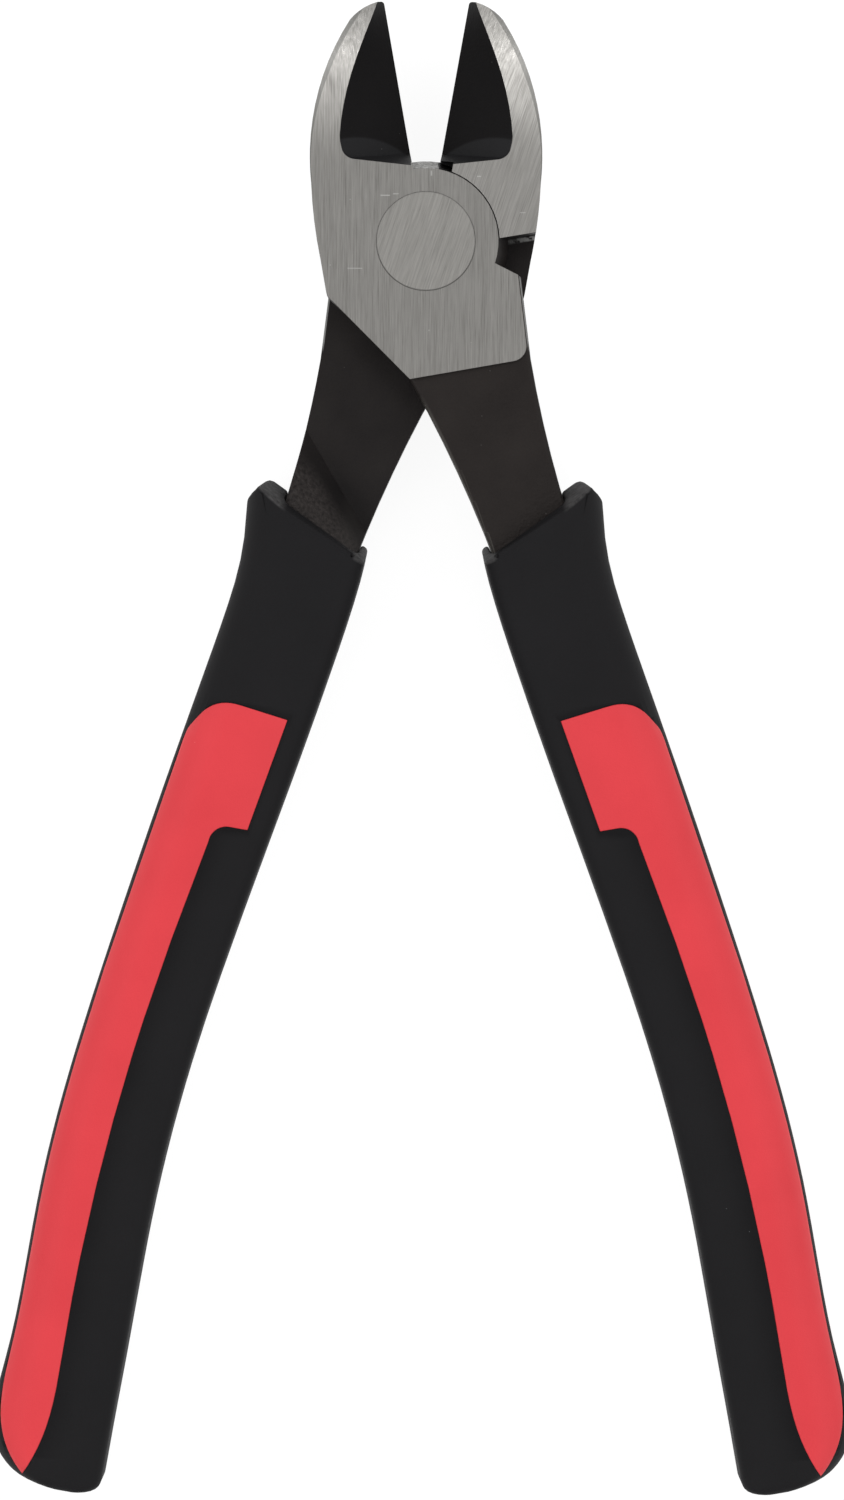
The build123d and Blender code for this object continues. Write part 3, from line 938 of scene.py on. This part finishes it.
# %% Red plastic
grip_red, tree, shader = new_material("grip_red")
red_skin = plastic(
    tree,
    millimetres(tree),
    dark=(0.56, 0.034, 0.043),
    light=(0.61, 0.040, 0.050),
    dust_colour=(0.75, 0.30, 0.30),
    dust_share=0.10,
    roughness=(0.52, 0.62),
)
finish_with(tree, shader, *red_skin)
shader.inputs["Specular IOR Level"].default_value = 0.22
print("material", grip_red.name, "is built")

# %% [markdown]
# ## Putting it together
#
# Each finished piece gets its one material, rides on the half that it is fixed to, and stands for the
# plain solid of the frame. The steel nodes stay where they are and only change their finish.


# %% Finishes and bodies
def coat(piece, material):
    """Gives a piece one material."""
    piece.data.materials.clear()
    piece.data.materials.append(material)


coat(nodes["front_half"], steels["front_half"])
coat(nodes["rear_half"], steels["rear_half"])
coat(nodes["pivot_rivet"], rivet_steel)
for key, piece in grips.items():
    red = key.endswith("inlay")
    coat(piece, grip_red if red else grip_black)
    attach(piece, "front_plier_half" if key.startswith("right") else "rear_plier_half")
    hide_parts(key)

# %% [markdown]
# ## Floor, light and camera
#
# The pliers lie on a plain white floor under soft light. Polished steel shows what is around it more
# than what falls on it, so the lamps are placed for their reflections: one soft box just past the jaws
# gives the bright band where the ground faces curve in to the tips, and the others stand far enough to
# the sides to light the floor without washing out the black.

# %% The floor and the lamps
low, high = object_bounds()
floor_gap = 0.02 * MM
floor_size = 10
bpy.ops.object.select_all(action="DESELECT")
bpy.ops.mesh.primitive_plane_add(size=floor_size, location=(0, 0, low.z - floor_gap))
floor = bpy.context.object
floor.name = "floor"
paper = bpy.data.materials.new("paper")
paper.use_nodes = True
for name, value in (
    ("Base Color", (0.16, 0.16, 0.16, 1)),
    ("Roughness", 0.9),
    ("Specular IOR Level", 0.0),
    ("Emission Color", (1.0, 1.0, 1.0, 1)),
    ("Emission Strength", 0.90),
):
    paper.node_tree.nodes["Principled BSDF"].inputs[name].default_value = value
coat(floor, paper)


def soft_box(name, azimuth, elevation, distance, size, brightness):
    """A square lamp that faces the pliers. Brightness is its radiance, whatever its size."""
    data = bpy.data.lights.new(name, "AREA")
    data.size = size
    data.energy = brightness * math.pi * size**2
    lamp = bpy.data.objects.new(name, data)
    bpy.context.scene.collection.objects.link(lamp)
    around, up = math.radians(azimuth), math.radians(elevation)
    out = Vector((math.sin(around) * math.cos(up), math.cos(around) * math.cos(up), math.sin(up)))
    lamp.location = out * distance
    lamp.rotation_euler = out.to_track_quat("Z", "Y").to_euler()
    lamp.visible_camera = False
    return lamp


soft_box("tip_box", azimuth=0, elevation=60, distance=1.2, size=0.24, brightness=4.6)
for name, azimuth in (("front_left", -128), ("front_right", 128), ("back_left", -52), ("back_right", 52)):
    soft_box(name + "_box", azimuth, elevation=40, distance=1.5, size=1.6, brightness=1.25)

# the surroundings light the pliers dimly and look nearly white themselves
SURROUND_LIGHT = (0.40, 0.40, 0.40)
SURROUND_SEEN = (0.92, 0.92, 0.92)
world = bpy.data.worlds.new("studio")
bpy.context.scene.world = world
world.use_nodes = True
tree = world.node_tree
seen = put(tree, "LightPath").outputs["Is Camera Ray"]
surround = blend(tree, seen, SURROUND_LIGHT, SURROUND_SEEN)
tree.links.new(surround, tree.nodes["Background"].inputs["Color"])
print("the floor is", round((low.z - floor_gap) / MM, 2), "mm up")

# %% The camera
camera_height = 1.1
view_height = 0.195  # of the picture, at the head's front face
roll = math.radians(0.2)
centre = (low + high) / 2
off_centre = Vector((-0.26, -0.54)) * MM
camera = bpy.data.objects.new("camera", bpy.data.cameras.new("camera"))
bpy.context.scene.collection.objects.link(camera)
camera.location = (centre.x + off_centre.x, centre.y + off_centre.y, head_high.z + camera_height)
camera.rotation_euler = (0, 0, roll)
camera.data.lens = camera.data.sensor_width * camera_height / view_height
camera.data.clip_end = 20
bpy.context.scene.camera = camera
bpy.context.scene.view_settings.view_transform = "Standard"
print("the camera looks down on", [round(v / MM, 1) for v in centre])
